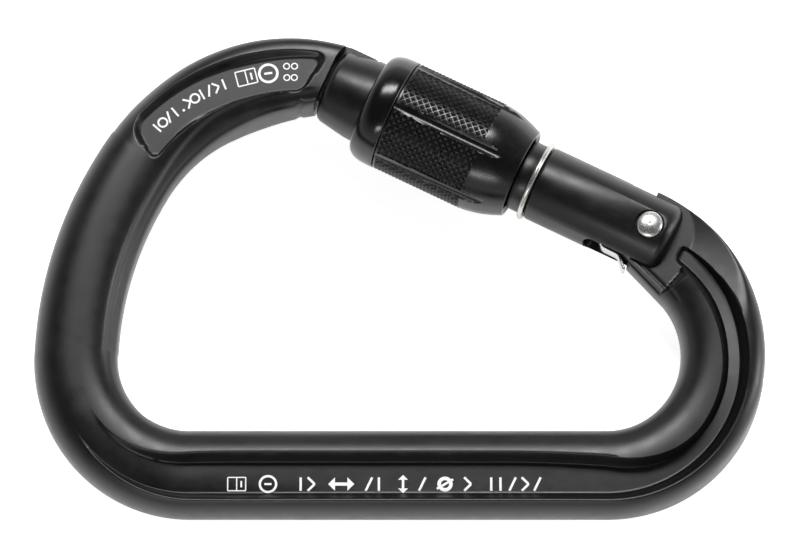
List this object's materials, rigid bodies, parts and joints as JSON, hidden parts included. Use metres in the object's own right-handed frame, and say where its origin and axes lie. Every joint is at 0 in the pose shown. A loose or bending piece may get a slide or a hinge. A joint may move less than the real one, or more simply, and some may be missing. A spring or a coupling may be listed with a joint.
{
  "type": "locking carabiner",
  "caption": "Forged pear-shaped carabiner with a keylock nose, an inward-opening rod gate, a closing spring and a knurled screw sleeve that locks the gate.",
  "frame": {"origin": "centre of the bounding box, on the mid-plane of the bar", "axes": "+X along the spine from the wide end (nose) to the narrow end (hinge), +Y from the spine across to the gate, +Z square to the carabiner's plane; the part lies flat"},
  "size_m": [0.1036, 0.0702, 0.0164],
  "materials": {
    "anodised_black": "fine bead-blasted black anodising",
    "satin_black": "satin black anodising on a turned rod",
    "gloss_black": "glossy black anodising, diamond knurl",
    "gloss_black_collar": "glossy black anodising, smooth",
    "polished_steel": "polished stainless steel",
    "polished_ring": "polished stainless steel wire",
    "spring_strip": "bright spring steel strip",
    "spring_wire": "spring steel wire"
  },
  "bodies": {
    "frame": {"body": "anodised_black"},
    "gate": {"gate": "satin_black", "hinge_rivet": "polished_steel", "stop_ring": "polished_ring", "gate_spring": "spring_wire"},
    "collar": {"sleeve_collar": "gloss_black_collar"},
    "sleeve": {"locking_sleeve": "gloss_black"},
    "pusher": {"spring_pusher": "spring_strip"}
  },
  "joints": [
    {"name": "gate_hinge", "type": "hinge", "parent": "frame", "child": "gate", "pos_m": [0.0355, 0.00658, 0], "axis": [0, 0, 1], "range_deg": [0, 34], "stiffness_Nm_per_rad": 0.3, "springref_deg": -45.84, "deforming": ["gate_spring"]},
    {"name": "sleeve_travel", "type": "slide", "parent": "gate", "child": "collar", "axis": [-0.8974, 0.4412, 0], "range_m": [-0.0015, 0.0075]},
    {"name": "sleeve_turn", "type": "hinge", "parent": "collar", "child": "sleeve", "pos_m": [0.00858, 0.01982, 0], "axis": [-0.8974, 0.4412, 0], "range_deg": [-216, 1080]},
    {"name": "pusher_swing", "type": "hinge", "parent": "frame", "child": "pusher", "pos_m": [0.03249, 0.00182, 0], "axis": [0, 0, 1], "range_deg": [0, 40.5]}
  ],
  "couplings": [
    {"joint": "sleeve_turn", "follows": "sleeve_travel", "rad_per_m": 2513.3},
    {"joint": "pusher_swing", "follows": "gate_hinge", "ratio": 1.19}
  ]
}
